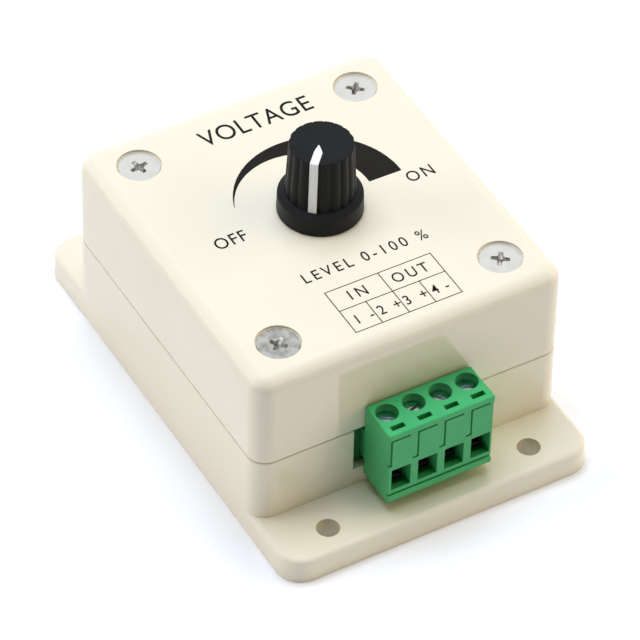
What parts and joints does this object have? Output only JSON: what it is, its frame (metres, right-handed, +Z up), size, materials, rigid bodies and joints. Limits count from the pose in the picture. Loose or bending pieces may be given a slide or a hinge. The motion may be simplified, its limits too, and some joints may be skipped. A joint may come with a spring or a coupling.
{
  "type": "dc voltage regulator",
  "caption": "Flanged cream plastic case with a dc voltage control inside: a black fluted pointer knob on top and a green pluggable screw terminal at the front.",
  "frame": {"origin": "centre of the case's underside, on the mounting surface, midway between the end flanges", "axes": "+X along the terminal row to the right as the print reads, +Y away from the terminal side, +Z up out of the mounting surface"},
  "size_m": [0.058, 0.0864, 0.0497],
  "materials": {
    "case_plastic": "cream moulded ABS, satin gloss",
    "knob_plastic": "black moulded plastic",
    "pointer_plastic": "white moulded bar",
    "terminal_plastic": "green moulded polyamide",
    "zinc_steel": "bright zinc plated",
    "nickel_brass": "nickel plated brass",
    "pot_resin": "brown moulded resin",
    "board_laminate": "green coated glass laminate",
    "chip_plastic": "black moulded epoxy",
    "capacitor_sleeve": "dark shrink sleeve",
    "resistor_coat": "tan lacquer",
    "lead_insulation": "red wire insulation"
  },
  "bodies": {
    "enclosure": {"base": "case_plastic", "cover": "case_plastic", "cover_screws": "zinc_steel", "pot_bushing": "nickel_brass", "pot_body": "pot_resin", "pot_lugs": "nickel_brass", "pot_leads": "lead_insulation", "pot_washer": "zinc_steel", "pot_nut": "nickel_brass", "circuit_board": "board_laminate", "board_screws": "zinc_steel", "header_housing": "terminal_plastic", "header_pins": "nickel_brass", "power_transistor": "chip_plastic", "smoothing_capacitor": "capacitor_sleeve", "control_chip": "chip_plastic", "power_diode": "chip_plastic", "resistors": "resistor_coat"},
    "knob": {"knob": "knob_plastic", "knob_pointer": "pointer_plastic", "pot_shaft": "nickel_brass"},
    "plug": {"plug_housing": "terminal_plastic", "plug_contacts": "nickel_brass"},
    "clamp_screw_1": {"clamp_screw_1": "zinc_steel"},
    "clamp_cage_1": {"clamp_cage_1": "nickel_brass"},
    "clamp_screw_2": {"clamp_screw_2": "zinc_steel"},
    "clamp_cage_2": {"clamp_cage_2": "nickel_brass"},
    "clamp_screw_3": {"clamp_screw_3": "zinc_steel"},
    "clamp_cage_3": {"clamp_cage_3": "nickel_brass"},
    "clamp_screw_4": {"clamp_screw_4": "zinc_steel"},
    "clamp_cage_4": {"clamp_cage_4": "nickel_brass"}
  },
  "joints": [
    {"name": "knob_turn", "type": "hinge", "parent": "enclosure", "child": "knob", "pos_m": [0.0007, 0.00055, 0.036], "axis": [0, 0, 1], "range_deg": [-270, 0]},
    {"name": "plug_pull", "type": "slide", "parent": "enclosure", "child": "plug", "axis": [0, -1, 0], "range_m": [0, 0.012]},
    {"name": "clamp_turn_1", "type": "hinge", "parent": "plug", "child": "clamp_screw_1", "pos_m": [-0.00665, -0.03475, 0.0192], "axis": [0, 0, -1], "range_deg": [0, 1800]},
    {"name": "cage_lift_1", "type": "slide", "parent": "plug", "child": "clamp_cage_1", "axis": [0, 0, 1], "range_m": [0, 0.00225]},
    {"name": "clamp_turn_2", "type": "hinge", "parent": "plug", "child": "clamp_screw_2", "pos_m": [-0.00165, -0.03475, 0.0192], "axis": [0, 0, -1], "range_deg": [0, 1800]},
    {"name": "cage_lift_2", "type": "slide", "parent": "plug", "child": "clamp_cage_2", "axis": [0, 0, 1], "range_m": [0, 0.00225]},
    {"name": "clamp_turn_3", "type": "hinge", "parent": "plug", "child": "clamp_screw_3", "pos_m": [0.00335, -0.03475, 0.0192], "axis": [0, 0, -1], "range_deg": [0, 1800]},
    {"name": "cage_lift_3", "type": "slide", "parent": "plug", "child": "clamp_cage_3", "axis": [0, 0, 1], "range_m": [0, 0.00225]},
    {"name": "clamp_turn_4", "type": "hinge", "parent": "plug", "child": "clamp_screw_4", "pos_m": [0.00835, -0.03475, 0.0192], "axis": [0, 0, -1], "range_deg": [0, 1800]},
    {"name": "cage_lift_4", "type": "slide", "parent": "plug", "child": "clamp_cage_4", "axis": [0, 0, 1], "range_m": [0, 0.00225]}
  ],
  "couplings": [
    {"joint": "clamp_turn_1", "follows": "cage_lift_1", "rad_per_m": 13962},
    {"joint": "clamp_turn_2", "follows": "cage_lift_2", "rad_per_m": 13962},
    {"joint": "clamp_turn_3", "follows": "cage_lift_3", "rad_per_m": 13962},
    {"joint": "clamp_turn_4", "follows": "cage_lift_4", "rad_per_m": 13962}
  ]
}
